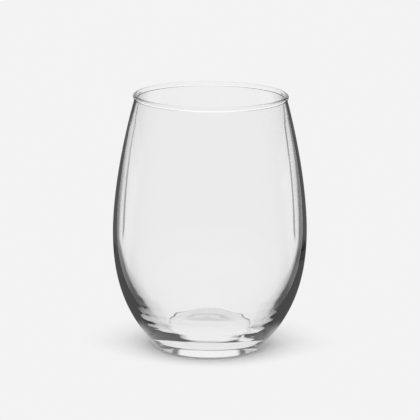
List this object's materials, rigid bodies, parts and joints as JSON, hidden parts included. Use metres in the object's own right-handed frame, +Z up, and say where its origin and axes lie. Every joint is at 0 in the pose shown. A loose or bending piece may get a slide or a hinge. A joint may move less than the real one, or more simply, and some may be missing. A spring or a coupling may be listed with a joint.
{
  "type": "stemless wine glass",
  "caption": "Clear stemless wine glass: an egg-shaped bowl with a rounded bead at the rim and a thick rounded base. It holds a drink and stands on the flat ring under its base.",
  "frame": {"origin": "middle of the flat ring that the glass stands on", "axes": "+Z up along the glass's axis of revolution, towards the rim; X and Y are free, because the glass is round"},
  "size_m": [0.0872, 0.0872, 0.115],
  "materials": {
    "clear_glass": "clear soda-lime glass, fire-polished inside, outside and at the rim"
  },
  "bodies": {
    "root": {"glass_body": "clear_glass"}
  },
  "joints": []
}
